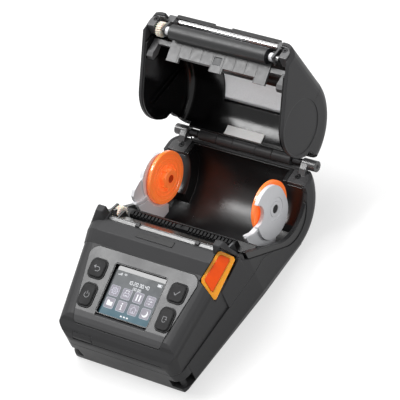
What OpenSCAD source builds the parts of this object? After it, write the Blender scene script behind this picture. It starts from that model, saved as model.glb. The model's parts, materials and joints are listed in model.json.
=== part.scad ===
// Mobile label and receipt printer with an open paper lid.
// Origin: on the floor under the case, on the left-right centre plane.
// X runs to the right, Y to the rear (the hinge), Z up. Lengths are in millimetres.

/* [Paper roll] */
// Width of the widest paper roll
roll_w = 80; // [60:1:82]
// Diameter of the fullest paper roll
roll_d = 67; // [60:0.5:70]
// Width of the narrowest paper roll
roll_min = 32; // [24:1:50]
// Free room around the fullest roll
roll_gap = 0.9; // [0.5:0.1:2]

/* [Case] */
// Width over the side walls at the paper bay
body_w = 123.8; // [122:0.2:132]
// Distance from the origin to the front face
front_reach = 95; // [92:0.5:104]
// Distance from the origin back to the paper roll's axis
roll_back = 44.4; // [42:0.2:48]
// Distance from the roll's axis back to the lid hinge
hinge_back = 41.6; // [41:0.2:44]
// Height of the lid hinge above the floor
hinge_h = 40; // [39.5:0.1:41]
// Wall of the case and lid shells
wall = 2.4; // [2:0.1:2.8]
// Thickness of the black liners
liner_t = 1.4; // [1:0.1:1.8]
// Radius of the long outer edges of belly and lid
edge_r = 9; // [7:0.5:10]
// How much each side wall leans in per millimetre towards the front
taper = 0.132; // [0.1:0.002:0.15]
// Radius of the two upright front corners
corner_r = 11; // [8:0.5:13]
// Height of the seam between the case halves at the front
seam_h = 19.8; // [17:0.2:22]

/* [Control panel] */
// Slope of the control panel
panel_tilt = 19; // [15:0.5:22]
// Height of the panel plane above the floor at its reference line
panel_h = 57.4; // [56:0.1:59]
// Thickness of the panel plate
plate_t = 2; // [1.6:0.1:2.4]
// Width of the display window
window_w = 45; // [40:0.5:47]
// Length of the display window down the slope
window_l = 37.6; // [34:0.2:39]
// Depth of the display below the panel
lcd_depth = 3; // [2.4:0.1:3.6]
// Width of the rear buttons
key_w = 12; // [10:0.2:13]
// Length of the rear buttons down the slope
key_l = 12.4; // [10:0.2:13]
// Length of the front buttons down the slope
key_front_l = 15.6; // [13:0.2:16.4]
// Travel of a button
key_travel = 0.8; // [0.5:0.1:1]

/* [Lid] */
// How far the lid stands open at rest, in degrees
lid_open_a = 87.9; // [80:0.1:90]
// How much further the lid's roof stands out than the belly
lid_extra = 1.2; // [0.6:0.1:1.6]
// Slope of the lid's roof towards the front
roof_tilt = 9.4; // [8:0.2:10.4]
// Diameter of the hinge barrel
barrel_d = 8; // [7:0.2:8.4]
// Diameter of the hinge pin
hinge_pin_d = 3; // [2.4:0.1:3.4]

/* [Printing] */
// Length of the platen's rubber
platen_l = 82; // [76:1:84]
// Diameter of the platen's rubber
platen_d = 11; // [10:0.2:11.6]
// Diameter of the platen's steel shaft
shaft_d = 4; // [3:0.2:4.4]
// Teeth on the platen gear
platen_teeth = 20; // [16:4:24]
// Gear tooth module
gear_m = 0.5; // [0.4:0.05:0.5]

/* [Paper guides] */
// Diameter of the orange guide discs
disc_d = 39; // [34:0.5:40]
// Room between the widest roll and each disc at the widest setting
guide_gap = 3.5; // [2:0.1:4]
// Thickness of a guide disc at its rim
disc_t = 3; // [2.4:0.1:3.4]
// Teeth on the rack pinion
rack_teeth = 16; // [12:2:16]

/* [Lever] */
// Length of the lid release lever
lever_l = 29; // [26:0.5:31]
// Angle the lever is pressed in, in degrees
lever_press = 3; // [2:0.5:4]

/* [Hidden] */
$fa = 4;
$fs = 0.4;
e = 0.01;
fit = 0.2;
run = 0.06;
half_w = body_w / 2;
belly_r = roll_d / 2 + roll_gap + liner_t + fit + wall;
ax = [roll_back, belly_r];
lid_r = belly_r + lid_extra;
hinge = [roll_back + hinge_back, hinge_h];
taper_y = -5;
front_y = -front_reach;

// Points (y, z) of the main centres, with the lid closed
platen = [hinge[0] - 89.5, hinge[1] + 19.9];
platen_r = platen_d / 2;
bar = [platen[0] - 10.9, platen[1] + 2.6];
panel_y = front_y + 54.3;
panel_back = 4.6;
panel_front = 51;
rim_c = ax + [-1.4, -3.9];
rim_r = 21;
cheek_c = ax + [-0.9, 8.6];
cheek_r = 26.3;
cheek_front = platen + [-6, -2.3];
seam_slope = 0.138;
seam_end = 5;
guide_x = roll_w / 2 + guide_gap;
guide_travel = (roll_w - roll_min) / 2;

// Placing helpers
module along_x(x0, x1) translate([x0, 0, 0]) rotate([90, 0, 90]) linear_extrude(x1 - x0) children();
module along_y(y0, y1) translate([0, y1, 0]) rotate([90, 0, 0]) linear_extrude(y1 - y0) children();
module both() {
  children();
  mirror([1, 0, 0]) children();
}
module at_yz(p) translate([0, p[0], p[1]]) children();
module rod(p, x0, x1, r) at_yz(p) rotate([0, 90, 0]) translate([0, 0, x0]) cylinder(h = x1 - x0, r = r);
module on_panel() at_yz([panel_y, panel_h]) rotate([panel_tilt, 0, 0]) children();
module lid_pose() at_yz(hinge) rotate([-lid_open_a, 0, 0]) at_yz(-hinge) children();
module head_frame() at_yz(platen - platen_r * [cos(45), sin(45)]) rotate([45, 0, 0]) children();

// Outline helpers
function arc(c, r, a0, a1, n = 12) =
  [for (i = [0:n]) c + r * [cos(a0 + (a1 - a0) * i / n), sin(a0 + (a1 - a0) * i / n)]];
function pan(s, n) = [panel_y - s * cos(panel_tilt) - n * sin(panel_tilt),
                      panel_h - s * sin(panel_tilt) + n * cos(panel_tilt)];
function half_at(y) = half_w - taper * max(0, taper_y - y);
function seam(y) = seam_h + (y - front_y) * seam_slope;
rim_start = [platen[0] - 10.5, platen[1] - 6.4];
function rim_at(y) = rim_start[1] + (y - rim_start[0]) * (rim_foot[1] - rim_start[1]) / (rim_foot[0] - rim_start[0]);
rim_foot = rim_c + rim_r * [cos(231.7), sin(231.7)];
rear_rim = ax[1] - 0.2;

// The outline of the lid's cheek from front to rear, raised by g
function cheek_curve(g = 0) = concat(
  [cheek_front + [0, g]],
  arc(cheek_c, cheek_r - g, 229.9, 329, 16),
  [[ax[0] + 22.4 - g, ax[1] + 1]]);
// The top edge of the case's side wall from front to rear
function rim_curve() = concat([rim_start], arc(rim_c, rim_r, 231.7, 344.4, 18),
  arc(cheek_c, cheek_r + 0.5, 317.3, 329, 4), [[ax[0] + 23, rear_rim]]);

// A drum around the roll's axis, r in radius, w wide each side, with rounded edges
module drum(r, w, c) at_yz(ax) rotate([0, 90, 0]) rotate_extrude() polygon(concat(
  [[0, -w]], arc([r - c, -w + c], c, -90, 0, 6), arc([r - c, w - c], c, 0, 90, 6), [[0, w]]));
// Case halves
corner_y = front_y + corner_r;
corner_x = half_at(corner_y) - corner_r * sqrt(1 + taper * taper);
nose = [[0, 25], [0.4, 29], [1.5, 32], [3.6, 34.9], [6.4, 37.6]];
function front_face(t) = concat([
  [front_y + 2.8 + t, -1], [front_y + 2.1 + t, 1.5], [front_y + 1.2 + t, 10],
  [front_y + 0.3 + t, seam_h]], [for (p = nose) [front_y + p[0] + t, p[1]]], [[front_y + 9.4 + t, 46]]);
// What the rounded front corners and the front face take off, t inside the outer skin
module front_trim(t) {
  both() translate([corner_x + 0.03, corner_y - 0.03, -1]) linear_extrude(92) polygon(concat(
    arc([0, 0], corner_r - t, 4, -94, 10), [[-3, -40], [40, -40], [40, 3]]));
  along_x(-half_w, half_w) polygon(concat(front_face(t), [[front_y - 20, 46], [front_y - 20, -1]]));
}
// One slice of the tub at y, w wide each side, with a rounded lower edge
module tub_slice(y, w, cx, cz, t) along_y(y, y + 0.1) {
  k = 1 / cos(11.25);
  a = [for (i = [0:3]) 11.25 + 22.5 * i];
  right = concat([[w - t, 80]], [for (i = [3:-1:0]) [w - cx + k * (cx - t) * sin(a[i]),
      cz - k * (cz - t) * cos(a[i])]],
    [[w - cx - k * (cx - t) * sin(a[0]) / 2, t]]);
  polygon(concat(right, [for (i = [len(right) - 1:-1:0]) [-right[i][0], right[i][1]]]));
}
tub_edges = [[ax[0] - 0.1, edge_r, edge_r], [taper_y, 12, 14.6], [front_y - 4, 7, 5]];
module tub(t) {
  difference() {
    for (i = [0:1]) hull() for (k = [i, i + 1])
      tub_slice(tub_edges[k][0], half_at(tub_edges[k][0]), tub_edges[k][1], tub_edges[k][2], t);
    front_trim(t);
  }
  drum(belly_r - t - 0.05, half_w - t - 0.05, edge_r - t);
}

// Outline of everything below the seam and the side walls' rims
seam_tail = [[seam_end, seam(seam_end)], [seam_end + 4, seam(seam_end) - 0.3],
             [seam_end + 8.6, seam(seam_end) - 3.4], [seam_end + 12, rim_at(seam_end + 12)]];
module below_rim() along_x(-half_w - 1, half_w + 1) polygon(concat(
  [[front_y - 3, -1], [front_y - 3, seam(front_y - 3)]], seam_tail,
  [for (p = rim_curve()) if (p[0] > seam_end + 13) p],
  [[hinge[0] + 10, rear_rim], [hinge[0] + 10, -1]]));

// Base: lower half of the case
batt_w = 73;
batt_l = 74;
batt_h = 21.5;
batt_y = front_y + 11;
boss_r = 3;
screw_r = 1;
board_z = 24.4;
board_posts = [[41, front_y + 15], [44, front_y + 58]];
chassis_post = [43.6, -8];
hinge_screw = [50.4, hinge[0] - 11];
strap_pin = [half_at(front_y) - 4.6, front_y + 6.4];
block_z = [rear_rim - 7.2, rear_rim];
rack_y = 17;
rack_z = [4.5, 8.3];
barrel_r = barrel_d / 2;
module barrel_2d() translate(hinge) circle(barrel_r);
module boss(p, z0, z1, r = boss_r) both() translate([p[0], p[1], z0]) difference() {
  cylinder(h = z1 - z0, r = r);
  translate([0, 0, max(z1 - z0 - 9, 1)]) cylinder(h = 10, r = screw_r);
}
module knuckle_lug() both() along_x(10, 23.8) difference() {
  union() {
    barrel_2d();
    polygon([hinge + [-4.6, -2.1], hinge + [-5.4, -12], hinge + [-2, -11.5], hinge + [3.3, -2.2]]);
  }
  translate(hinge) circle(hinge_pin_d / 2 + run);
}
// Closes the slit between the rear wall and the barrel
module hinge_ledge() difference() {
  along_x(-47.2, 47.2) polygon([hinge + [-4.9, -2.3], hinge + [-5.5, -12], hinge + [-2.2, -11.3],
      hinge + [1.4, -5.4]]);
  rod(hinge, -half_w, half_w, barrel_r + 0.4);
}
module lower_case() color("#3c3c3e") {
  difference() {
    intersection() {
      tub(0);
      below_rim();
    }
    difference() {
      tub(wall);
      both() translate([strap_pin[0], strap_pin[1], 0]) cylinder(h = 17, r = 10);
    }
    rod(hinge, -half_w, half_w, barrel_r + 0.4);
    translate([-batt_w / 2 - 0.3, batt_y - 0.3, -1]) cube([batt_w + 0.6, batt_l + 0.6, 10]);
    translate([-9.3, batt_y + batt_l, -1]) cube([18.6, 8.4, 10]);
    both() translate([strap_pin[0], strap_pin[1], 4.6]) difference() {
      cylinder(h = 8.8, r = 8.2);
      translate([0, 0, -1]) cylinder(h = 11, r = 2.2);
    }
    both() translate([strap_pin[0], strap_pin[1], 1.9]) cylinder(h = 14, r = 1.63);
  }
  for (p = board_posts) boss(p, wall - e, board_z);
  boss(chassis_post, wall - e, tray_z - 0.1);
  boss(hinge_screw, ax[1] - sqrt(pow(belly_r - wall, 2) - pow(hinge_screw[1] - ax[0] - boss_r, 2)) - 0.4,
      block_z[0] - 0.1, 3.2);
  translate([-54, rack_y - 8.5, wall - e]) cube([108, 16.6, rack_z[0] - wall - fit]);
  translate([0, rack_y, wall]) cylinder(h = rack_z[1] + 0.2 - wall, r = 1.5);
  knuckle_lug();
  hinge_ledge();
}

// Base: upper half of the case with the sloping shoulders around the panel
deck_n = -0.5;
recess_n = -3;
function shoulder(a, b, z, top, drop) = [for (u = [0:18:90])
  [a + (b - a) * sin(u), z - top - (drop - top) * (1 - cos(u))]];
function mirrored(right) = concat(right, [for (i = [len(right) - 1:-1:0]) [-right[i][0], right[i][1]]]);
// The shoulder at s down the slope, sunk by low where it rolls over the front edge
module shoulder_slice(s, low, t, top) {
  a = 47.4 - (s + 6) * 0.12;
  b = half_at(pan(s, 0)[0]) - t;
  on_panel() along_y(-s, -s + 0.1) polygon(mirrored(concat(
    shoulder(a, b, deck_n - low, top, 6.9 - (s + 6) * 0.022), [[b, -60]])));
}
module hump_slice(y, a, z, drop, t) {
  b = half_at(y) - t;
  along_y(y, y + 0.1) polygon(mirrored(concat(shoulder(a, b, z, t, drop), [[b, 10]])));
}
rolls = [[45.6, -0.06], [49, 0.8], [51.1, 2.6], [55.3, 4.4], [58.2, 6.4], [62, 12], [66, 24]];
module front_roll() along_x(-half_w - 1, half_w + 1) polygon(concat(
  [for (p = rolls) pan(p[0], deck_n - p[1])], [pan(90, -30), pan(90, 30), pan(45.6, 30)]));
hump_front = panel_y + 5.5;
module upper_mass(t, top) {
  hull() {
    shoulder_slice(-6, 0, t, top);
    shoulder_slice(76, 0, t, top);
  }
  hull() {
    hump_slice(hump_front, 47.4, pan(-6, deck_n)[1], 6.8, t);
    hump_slice(bar[0] - 12.6, 46.5, bar[1] + 1.4, 8.4, t);
    hump_slice(bar[0] + 3.6, 46, bar[1] + 1.2, 5, t);
  }
}
module side_walls(t) translate([0, 0, 12]) linear_extrude(44 - t) polygon([
  [half_at(-13) - 0.03 - t, -13], [half_w - 0.03 - t, taper_y], [half_w - 0.03 - t, 40],
  [-half_w + 0.03 + t, 40], [-half_w + 0.03 + t, taper_y], [-half_at(-13) + 0.03 + t, -13]]);
module above_seam() along_x(-half_w - 1, half_w + 1) polygon(concat(
  [[front_y + 0.3, seam(front_y) + 0.3], [front_y - 1, 25], [front_y - 1, 40], pan(52, 3), pan(-5.6, 0.4),
      bar + [-16.4, -0.2], bar + [-12.6, 1.3],
   bar + [3.6, 1.3], [bar[0] + 3.6, rim_at(bar[0] + 3.6)]],
  [[seam_end + 11.6, rim_at(seam_end + 11.6)]], [for (i = [2:-1:0]) seam_tail[i] + [0, 0.3]]));
module horn() hull() {
  for (p = [[47.6, -5], [47.6, 2.1], [57.4, 2.1], [57.4, -6.5]])
    translate([p[0], bar[0] + p[1], bar[1] - 5]) cylinder(h = 2, r = 1.4, $fn = 32);
  for (p = [[48.4, -1.2], [48.4, 2.1], [53, 2.1], [52.4, -1.2]])
    translate([p[0], bar[0] + p[1], bar[1] + 6.6]) sphere(1.4, $fn = 24);
}
module upper_case() color("#4a4a4c") {
  lever_bearings();
  upper_shell();
}
module upper_shell() difference() {
  union() {
    intersection() {
      difference() {
        union() {
          upper_mass(0, 0);
          side_walls(0);
        }
        front_trim(0);
        front_roll();
      }
      above_seam();
    }
    both() horn();
  }
  difference() {
    union() {
      upper_mass(wall, -deck_n - recess_n + wall - 0.9);
      side_walls(wall);
    }
    front_trim(wall);
    along_x(-half_w, half_w) polygon([pan(48, -9), pan(48, 30), [front_y - 30, 60], [front_y - 30, 34],
      [front_y + 5 + wall, 33]]);
  }
  translate([-45.9, bar[0] - 1.6, bar[1] - 9]) cube([91.8, 40, 40]);
  translate([-56, bar[0] + 3.6, bar[1] - 14]) cube([112, 40, 40]);
  along_x(-45.9, 45.9) polygon([bar + [-3.6, 1.31], bar + [-1.5, -0.1], bar + [-1.5, 5], bar + [-3.6, 5]]);
  plate_space(0.25, 0.3, 6);
  on_panel() translate([-26, -43.6, -9]) cube([52, 44, 9]);
  translate([-badge[0] / 2 - 0.15, bar[0] - 9.8 - 0.15, bar[1] + 0.7])
      cube([badge[0] + 0.3, badge[1] + 0.3, 2]);
  lever_space();
  port_shape(0.2, 3);
  translate([-39, front_y - 0.3, front_groove]) cube([78, 1.9, 0.7]);
}

// Control panel
badge = [31, 4.4];
front_groove = 27.2;
module plate_outline(g) hull() {
  both() translate([46.2 - 7, panel_back - 7]) circle(7 + g);
  both() translate([37.6 - 3, -panel_front + 3]) circle(3 + g);
}
// The plate's bent section; g widens it into the room that it lies in
module plate_space(g, under, over) on_panel() intersection() {
  translate([0, 0, -12]) linear_extrude(24) plate_outline(g);
  along_x(-60, 60) polygon([[10, -plate_t - under - 0.7], [10, over], [-panel_front - 1 - g, over],
    [-panel_front - 1 - g, -4.6 - under], [-panel_front + 2.2, -4.6 - under],
    [-panel_front + 2.6, -plate_t - 1.6 - under - 0.7], [-panel_front + 5, -plate_t - 0.8 - under - 0.7],
    [-41, -plate_t - under - 0.7]]);
}
keys = [[34.3, -11.2, key_w, key_l], [33.6, -30.8, key_w - 1.6, key_front_l]];
key_gap = 1.25;
module soft_rect(w, l, r) {
  square([w - 2 * r, l], center = true);
  square([w, l - 2 * r], center = true);
  for (a = [-1, 1], b = [-1, 1]) translate([a * (w / 2 - r), b * (l / 2 - r)]) circle(r);
}
module key_2d(k, g) translate([k[0], k[1]]) soft_rect(k[2] + 2 * g, k[3] + 2 * g, 3.2 + g);
window_y = -2.9 - window_l / 2;
module panel_plate() color("#77787a") on_panel() difference() {
  intersection() {
    translate([0, 0, -12]) linear_extrude(24) plate_outline(0);
    along_x(-60, 60) polygon([[10, -plate_t], [10, 0], [-42, 0], [-46, -0.5], [-49, -1.4],
      [-50.5, -2.3], [-51, -3.4], [-51, -4.4], [-panel_front + 2.4, -4.4],
      [-panel_front + 2.8, -plate_t - 1.5], [-panel_front + 5, -plate_t - 0.7], [-42, -plate_t]]);
  }
  translate([0, window_y, -5]) linear_extrude(9) soft_rect(window_w, window_l, 2);
  along_x(-window_w / 2 + 0.6, window_w / 2 - 0.6) polygon([[window_y - window_l / 2 + 1, -plate_t - e],
    [window_y - window_l / 2, -plate_t - e], [window_y - window_l / 2 - 2.3, e],
        [window_y - window_l / 2 + 1, e]]);
  both() for (k = keys) translate([0, 0, -5]) linear_extrude(9) key_2d(k, key_gap);
}
module keypad() color("#161616") on_panel() difference() {
  union() {
    translate([0, 0, -plate_t - 0.75]) linear_extrude(0.7) intersection() {
      plate_outline(-1.2);
      translate([-60, -41.3]) square([120, 60]);
    }
    both() for (k = keys) translate([0, 0, -plate_t - 0.75]) linear_extrude(plate_t + 1.2)
        key_2d(k, key_gap - 0.12);
  }
  translate([-26.4, -43.9, -5]) cube([52.8, 44.6, 9]);
  both() for (k = keys) translate([0, 0, -5]) linear_extrude(9) key_2d(k, fit);
}
module key(side, k) color("#2b2b2d") on_panel() mirror([side < 0 ? 1 : 0, 0, 0]) {
  translate([0, 0, -1.8]) linear_extrude(1.9 + key_travel) key_2d(k, 0);
  translate([0, 0, key_travel + 0.09]) linear_extrude(0.4) key_2d(k, -0.5);
}
module lcd_bezel() color("#0c0c0c") on_panel() translate([0, window_y, 0]) difference() {
  union() {
    translate([-window_w / 2 - 3.5, -window_l / 2 - 1, -plate_t - 0.95])
        cube([window_w + 7, window_l + 3.5, 0.9]);
    translate([0, 0, -plate_t - 0.95]) linear_extrude(plate_t + 0.75)
        soft_rect(window_w - 0.2, window_l - 0.2, 1.9);
  }
  translate([0, 0, -5]) linear_extrude(9) soft_rect(window_w - 1.4, window_l - 1.4, 1.4);
}
module lcd_lens() color("#5c6a72") on_panel() translate([0, window_y, -lcd_depth])
  linear_extrude(0.7) soft_rect(window_w - 1.7, window_l - 1.7, 1.2);
module lcd_module() color("#2a2d30") on_panel() translate([0, window_y, -lcd_depth - 4.1]) {
  linear_extrude(4.05) square([window_w + 5.6, window_l + 4], center = true);
}
module badge_plate() color("#e8743a") translate([0, bar[0] - 9.8 + badge[1] / 2, bar[1] + 0.75])
  linear_extrude(0.9) soft_rect(badge[0], badge[1], 0.8);

// Lever on the right shoulder
lever_pivot = [-40, 45];
lever_c = [53.75, bar[0] - 13.5, bar[1] - 6.3];
lever_out = [[-7.8, lever_l / 2 - 1.4], [4.7, lever_l / 2 + 0.7], [9.7, -lever_l / 2 - 2.6],
             [-6.6, -lever_l / 2 + 3.3]];
lever_z = [-2.6, 0.8];
insert_out = [[-5.4, lever_l / 2 - 3.6], [2, lever_l / 2 - 2.2], [4.6, -lever_l / 2 + 1.4],
    [-4.6, -lever_l / 2 + 5.4]];
function unit(v) = v / norm(v);
function blunt(p, c) = [for (i = [0:len(p) - 1], q = [p[(i + len(p) - 1) % len(p)], p[(i + 1) % len(p)]])
  p[i] + c * unit(q - p[i])];
module lever_frame() translate(lever_c) rotate([20.4, 36.2, 0]) children();
module lever_plate(k, z0, z1, c = 1.6) lever_frame() translate([0, 0, z0]) linear_extrude(z1 - z0)
  polygon(blunt(k * lever_out, c));
module insert_plate(k, z0, z1) lever_frame() translate([0, 0, z0]) linear_extrude(z1 - z0)
  polygon(blunt(k * insert_out, 1));
lever_dip = lever_l * sin(lever_press);
module lever_space() lever_frame() {
  translate([0, 0, lever_z[0] - 0.9]) linear_extrude(20) polygon([[-8.2, lever_l / 2 - 1.1 + lever_dip * 0.8],
    [6.3, lever_l / 2 + 1 + lever_dip * 0.8], [11, -lever_l / 2 - 3.1], [-7, -lever_l / 2 + 2.8]]);
  translate([0, 0, lever_z[0] - 0.5 - lever_dip * 1.3]) linear_extrude(6) polygon([[-8.2, 0],
    [-8.2, lever_l / 2 - 1.1 + lever_dip * 0.8], [6.3, lever_l / 2 + 1 + lever_dip * 0.8], [8, 0]]);
}
module lever() color("#ff8c00") {
  difference() {
    lever_plate(1, lever_z[0], lever_z[1]);
    insert_plate(1.03, lever_z[1] - 0.5, 4);
  }
  along_x(49.6, 51) translate(lever_pivot)
    polygon([[-1.6, -0.5], [0, -1.9], [1.8, 0], [4.5, 7.2], [-1, 4.8]]);
  rod(lever_pivot, 47.9, 52.3, 1);
}
module lever_bearings() difference() {
  for (x = [48.2, 51.3]) along_x(x, x + 1) translate(lever_pivot)
    polygon([[-1.8, -0.8], [0, -1.9], [1.9, 0], [1.2, 1.5], [-2.4, 2.8], [-3.9, 4.6], [-7, 5], [-7, 3]]);
  rod(lever_pivot, 40, 60, 1 + run);
}
module lever_insert() color("#e0481e") insert_plate(1, lever_z[1] - 0.48, lever_z[1] + 0.4);

// Port cover in the front face
port_x = [-37, -21];
port_axis = [front_y + 1.4, 28];
module port_shape(g, d) along_x(port_x[0] - g, port_x[1] + g) polygon([
  port_axis + [-4, -1.2], port_axis + [-4, 5.2 + g], port_axis + [2.6 + d, 5.2 + g],
      port_axis + [1.4 + d, -1.2]]);
module port_cover() color("#2a2a2c") {
  along_x(port_x[0], port_x[1]) polygon([port_axis + [-0.8, 0], port_axis + [-0.72, 1.6],
      port_axis + [0.3, 4.2],
    port_axis + [1.3, 5.2], port_axis + [3, 4.2], port_axis + [1.2, 1.6], port_axis + [0.8, 0]]);
  rod(port_axis, port_x[0], port_x[1], 0.8);
}
module strap_pins() color("#b9b9b6") both() translate([strap_pin[0], strap_pin[1], 2])
  cylinder(h = 13.8, r = 1.6);

// Screws, all alike
module screw(l = 8) {
  translate([0, 0, -l]) cylinder(h = l + e, r = 0.96);
  difference() {
    cylinder(h = 1.3, r = 1.9);
    translate([0, 0, 0.5]) cylinder(h = 2, r = 0.9, $fn = 6);
  }
}
module base_screws() color("#8d8f91") both() {
  translate([chassis_post[0], chassis_post[1], tray_z + 1.5]) screw();
  translate([hinge_screw[0], hinge_screw[1], block_z[1] - 1]) screw();
  for (p = board_posts) translate([p[0], p[1], board_z + 1.7]) screw();
}
module lid_screws() color("#8d8f91") lid_pose() both()
  translate([post_screw[0], lid_front + 2, post_screw[1]]) rotate([90, 0, 0]) screw();

// Roll bay liner
deck_z = [40.6, 42];
module well_limit() along_x(-half_w, half_w) polygon(concat(
  [[-5, 20], [-5, cheek_front[1] - 4.4]],
  [for (p = cheek_curve(-0.5)) if (p[0] > 0 && p[1] < rear_rim - 0.5) p],
  [[ax[0] + 23, rear_rim - 0.2], [hinge[0], rear_rim - 0.2], [hinge[0], 0], [30, 0]]));
module roll_well() color("#111112") difference() {
  union() {
    intersection() {
      difference() {
        drum(belly_r - wall - fit, half_w - wall - fit, edge_r - wall - fit);
        drum(belly_r - wall - fit - liner_t, half_w - wall - fit - liner_t, edge_r - wall - fit - liner_t);
        translate([-half_w + 4, -20, deck_z[1]]) cube([body_w - 8, 64, 60]);
      }
      well_limit();
    }
    along_x(-52.8, 57.4) polygon([[1, deck_z[0]], [1, deck_z[1]], [10.1, deck_z[1]], [9, deck_z[0]]]);
    both() intersection() {
      along_x(57.9, half_w - wall - fit) difference() {
        polygon([[-5, 40], [-5, 56], [12, 44], [12, 30], [8, 30]]);
        translate(ax) circle(belly_r - wall - fit - 2);
      }
      well_limit();
    }
    both() intersection() {
      along_x(half_w - wall - fit - e, half_w - 0.6) difference() {
        polygon([[-4.9, 0], [-4.9, 60], [ax[0] + 18, 60], [ax[0] + 18, 0]]);
        rim_area(0.25);
      }
      well_limit();
    }
    both() intersection() {
      drum(belly_r - wall - fit - 1, half_w - wall - fit - 1, edge_r - wall - fit - 1);
      difference() {
        translate([41, 50, 0]) cube([18, 40, rear_rim - 0.2]);
        rod(ax, 0, 70, 24.5);
      }
    }
  }
  both() translate([44.2, hinge[0] - 17.3, block_z[0] - 0.3]) cube([20, 30, 20]);
  both() translate([hinge_screw[0], hinge_screw[1], 0]) cylinder(h = block_z[0], r = 3.6);
  both() translate([39 - guide_travel, 20.6, 0]) cube([guide_travel + 13, 3.8, 20]);
}
// Everything below the side walls' rims, raised by g
module rim_area(g) polygon(concat([[-20, -5], [-20, rim_at(-20) + g]],
  [for (p = rim_curve()) p + [0, g]], [[hinge[0], rear_rim + g], [hinge[0], -5]]));

// Hinge
module hinge_blocks() color("#b4b6b8") both() difference() {
  union() {
    intersection() {
      drum(belly_r - wall - 0.2, half_w - wall - 0.2, edge_r - wall - 0.2);
      translate([44.7, hinge[0] - 17, block_z[0]]) cube([20, 14, block_z[1] - block_z[0] - e]);
    }
    along_x(49.8, 60.8) barrel_2d();
    along_x(49.8, 55) {
      polygon([hinge + [-9.6, -2.2], hinge + [-9.6, -1.81], hinge + [-6, 1.4], hinge + [-1, 3.9],
               hinge + [0, 0], hinge + [-1.9, -1.4], hinge + [-6.6, -1.5], hinge + [-6.6, -2.2]]);
    }
  }
  rod(hinge, 40, 62, hinge_pin_d / 2 + run);
  translate([hinge_screw[0], hinge_screw[1], 0]) cylinder(h = 60, r = 1.05);
  translate([hinge_screw[0], hinge_screw[1], block_z[1] - 1]) cylinder(h = 10, r = 2.3);
}
module hinge_pin() color("#c8c8c6") rod(hinge, -60.6, 60.6, hinge_pin_d / 2);
module coil(r, wire, n) rotate_extrude() for (i = [0:n - 1]) translate([r, (i + 0.5) * wire * 1.8])
    circle(wire);
module hinge_springs() color("#8f9194") both() {
  at_yz(hinge) translate([41.2, 0, 0]) rotate([0, 90, 0]) coil(2.4, 0.5, 8);
  translate([47.9, hinge[0] - 2.4, hinge[1] - 5.4]) cylinder(h = 5.4, r = 0.5);
}

// Printing
tray_z = 40;
latch = [platen[0] - 8.5, platen[1] - 11.9];
drive = platen + [1.5, -11];
idler = drive + [-11.3, -8.5];
motor = idler + [-10, -4.8];
gear_x = [-52, -48];
wall_x = 46;
plate_posts = [[-26, 44.4], [-14, 54]];
tooth_counts = [24, 32, 12];
function dir(p, q) = atan2(q[1] - p[1], q[0] - p[0]);
// Angle of a tooth on gear q that meshes with gear p's teeth
function mate(p, q, phase, tp, tq) = let (a = dir(p, q), k = round((a - phase) * tp / 360))
  dir(q, p) - (phase + k * 360 / tp - a) * tp / tq + 180 / tq;
drive_phase = dir(drive, platen);
idler_phase = mate(drive, idler, drive_phase, tooth_counts[0], tooth_counts[1]);
motor_phase = mate(idler, motor, idler_phase, tooth_counts[1], tooth_counts[2]);
module gear_2d(t, phase, bore) difference() {
  polygon([for (i = [0:t - 1], p = [[-0.33, -1.2], [-0.14, 0.85], [0.14, 0.85], [0.33, -1.2]])
    let (a = phase + (i + p[0]) * 360 / t, r = gear_m * (t / 2 + p[1])) r * [cos(a), sin(a)]]);
  circle(bore);
}
module gear(c, t, phase, bore) along_x(gear_x[0], gear_x[1]) translate(c) gear_2d(t, phase, bore);
module drive_gear() color("#e9e6da") gear(drive, tooth_counts[0], drive_phase, 1 + run);
module idler_gear() color("#e9e6da") gear(idler, tooth_counts[1], idler_phase, 1 + run);
module motor_pinion() color("#c9a24a") gear(motor, tooth_counts[2], motor_phase, 1.02);
module platen_gear() color("#efece0") lid_pose()
  gear(platen, platen_teeth, dir(platen, drive) + 180 / platen_teeth, shaft_d / 2 + 0.02);
module gear_plate() color("#9a9c9e") difference() {
  union() {
    along_x(-54.6, -53.2) polygon([drive + [-5, 8], drive + [5.4, 5], drive + [6.4, -6], idler + [4, -8.4],
      motor + [0, -5], motor + [-6.5, -2], plate_posts[0] + [-3, 2.5], plate_posts[1] + [-3.5, 2.4]]);
    for (p = [drive, idler]) rod(p, -53.3, -47.7, 1);
    for (p = plate_posts) rod(p, -53.3, -wall_x - 1.5, 1.8);
  }
  rod(motor, -56, -52, 1.5);
}
module stepper_motor() color("#a9abad") difference() {
  union() {
    rod(motor, -wall_x + 0.1, -27, 9);
    rod(motor, -gear_x[0] * -1 + 0.1, -wall_x + 0.2, 1);
    rod(motor, -27.1, -25.6, 6.4);
    translate([-42, motor[0] - 11.8, motor[1] - 4]) cube([8, 4, 5]);
  }
  rod(motor, -40.6, -40, 12);
}
module print_chassis() color("#85878a") difference() {
  union() {
    translate([-wall_x - 1.4, -34, tray_z]) cube([2 * wall_x + 2.8, 34.7, 1.5]);
    both() along_x(wall_x, wall_x + 1.4) polygon([[-34, tray_z], [-34, tray_z + 6.6], [-20, platen[1] - 3.4],
      [-11, platen[1] - 3.4], [-7, platen[1] - 6.4], [0.7, platen[1] - 8], [0.7, tray_z]]);
    head_frame() translate([-40, -12.4, -9]) cube([80, 1.5, 13.6]);
  }
  translate([-wall_x + 0.1, motor[0] - 9.3, tray_z - 1]) cube([20.7, 18.6, 4]);
  both() rod(latch, 40, 50, 1.5 + run);
  both() translate([chassis_post[0], chassis_post[1], tray_z - 5]) cylinder(h = 12, r = 1.05);
  rod(motor, -50, -40, 1.4);
}
module print_head() color("#d8d4c6") head_frame() {
  translate([-42, -1.3, -5]) cube([84, 1, 10.6]);
  translate([-10, -1.3, -7]) cube([20, 0.9, 2.1]);
}
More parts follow.
